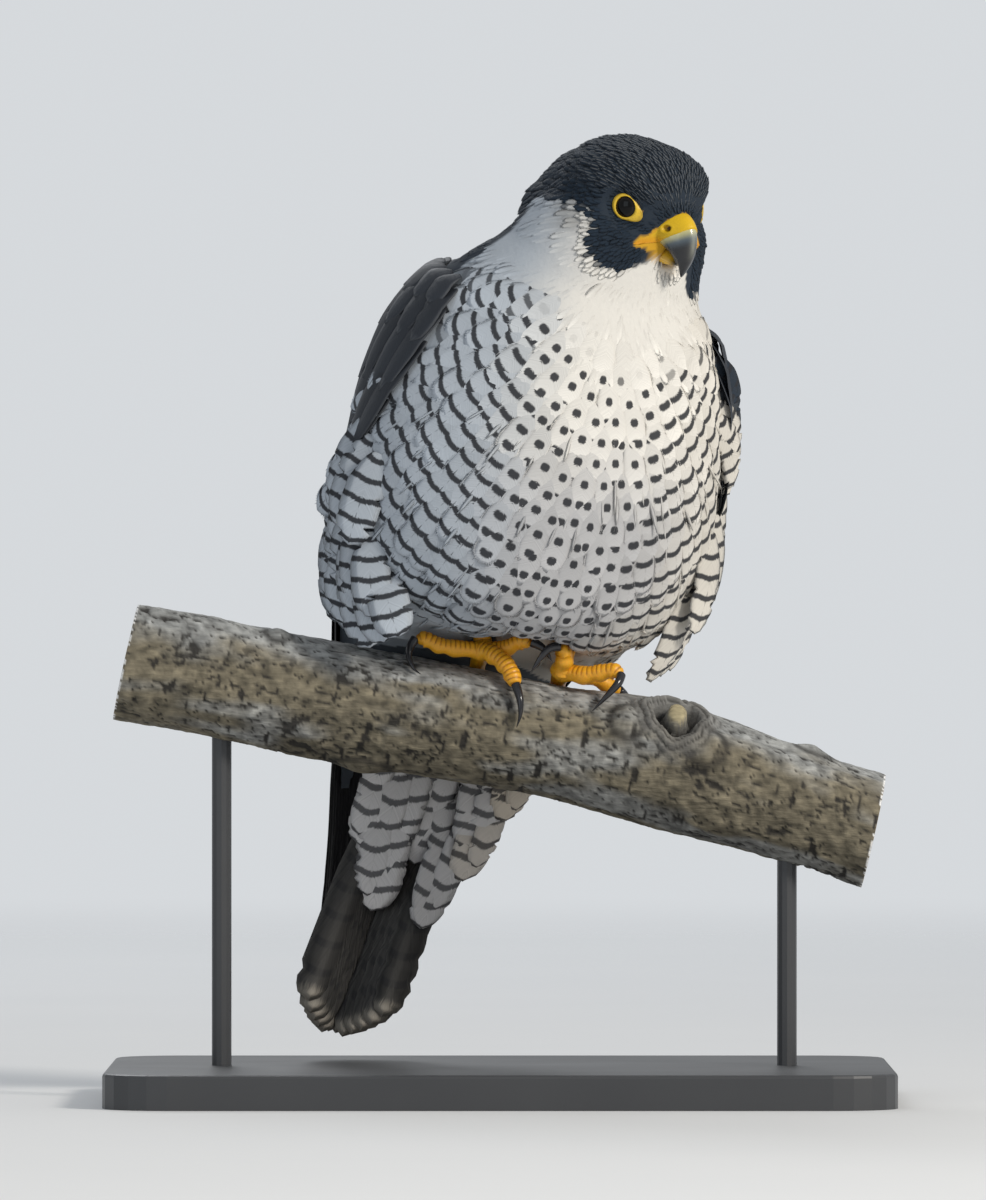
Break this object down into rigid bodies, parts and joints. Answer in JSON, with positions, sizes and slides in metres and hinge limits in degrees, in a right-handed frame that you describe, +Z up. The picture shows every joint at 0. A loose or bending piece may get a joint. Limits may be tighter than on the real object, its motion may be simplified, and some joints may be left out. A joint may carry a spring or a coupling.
{
  "type": "peregrine falcon model",
  "caption": "Life-size perched peregrine falcon model, head turned to its left, on a short cut branch held above a flat base by two rods.",
  "frame": {"origin": "centre of the base's underside, which is the bottom centre of the whole part", "axes": "+Z up, -Y towards the viewer of the picture, +X to the viewer's right along the perch; the bird leans with the perch and looks to +X and -Y"},
  "size_m": [0.36, 0.26, 0.4434],
  "materials": {
    "stand_paint": "satin dark grey paint",
    "bark": "dry fissured bark, matte",
    "pale_plumage": "soft pale plumage with dark bars and spots, matte",
    "dark_plumage": "soft dark slate plumage, matte",
    "tail_plumage": "dark barred flight feathers, low sheen",
    "yellow_skin": "scaled yellow skin, satin",
    "bill_horn": "blue-grey horn darkening to the tip, satin",
    "claw_horn": "polished black horn",
    "eye": "wet near-black eye, glossy"
  },
  "bodies": {
    "root": {"stand_base": "stand_paint", "stand_rod_left": "stand_paint", "stand_rod_right": "stand_paint", "perch_branch": "bark", "torso": "pale_plumage", "neck": "pale_plumage", "head": "dark_plumage", "cere": "yellow_skin", "bill_upper": "bill_horn", "bill_lower": "bill_horn", "eye_left": "eye", "eye_right": "eye", "eyelid_left": "yellow_skin", "eyelid_right": "yellow_skin", "wing_left": "dark_plumage", "wing_right": "dark_plumage", "tail": "tail_plumage", "undertail_coverts": "pale_plumage", "leg_left": "pale_plumage", "leg_right": "pale_plumage", "foot_left": "yellow_skin", "foot_right": "yellow_skin", "claw_left_inner": "claw_horn", "claw_left_middle": "claw_horn", "claw_left_outer": "claw_horn", "claw_left_rear": "claw_horn", "claw_right_inner": "claw_horn", "claw_right_middle": "claw_horn", "claw_right_outer": "claw_horn", "claw_right_rear": "claw_horn"}
  },
  "joints": []
}
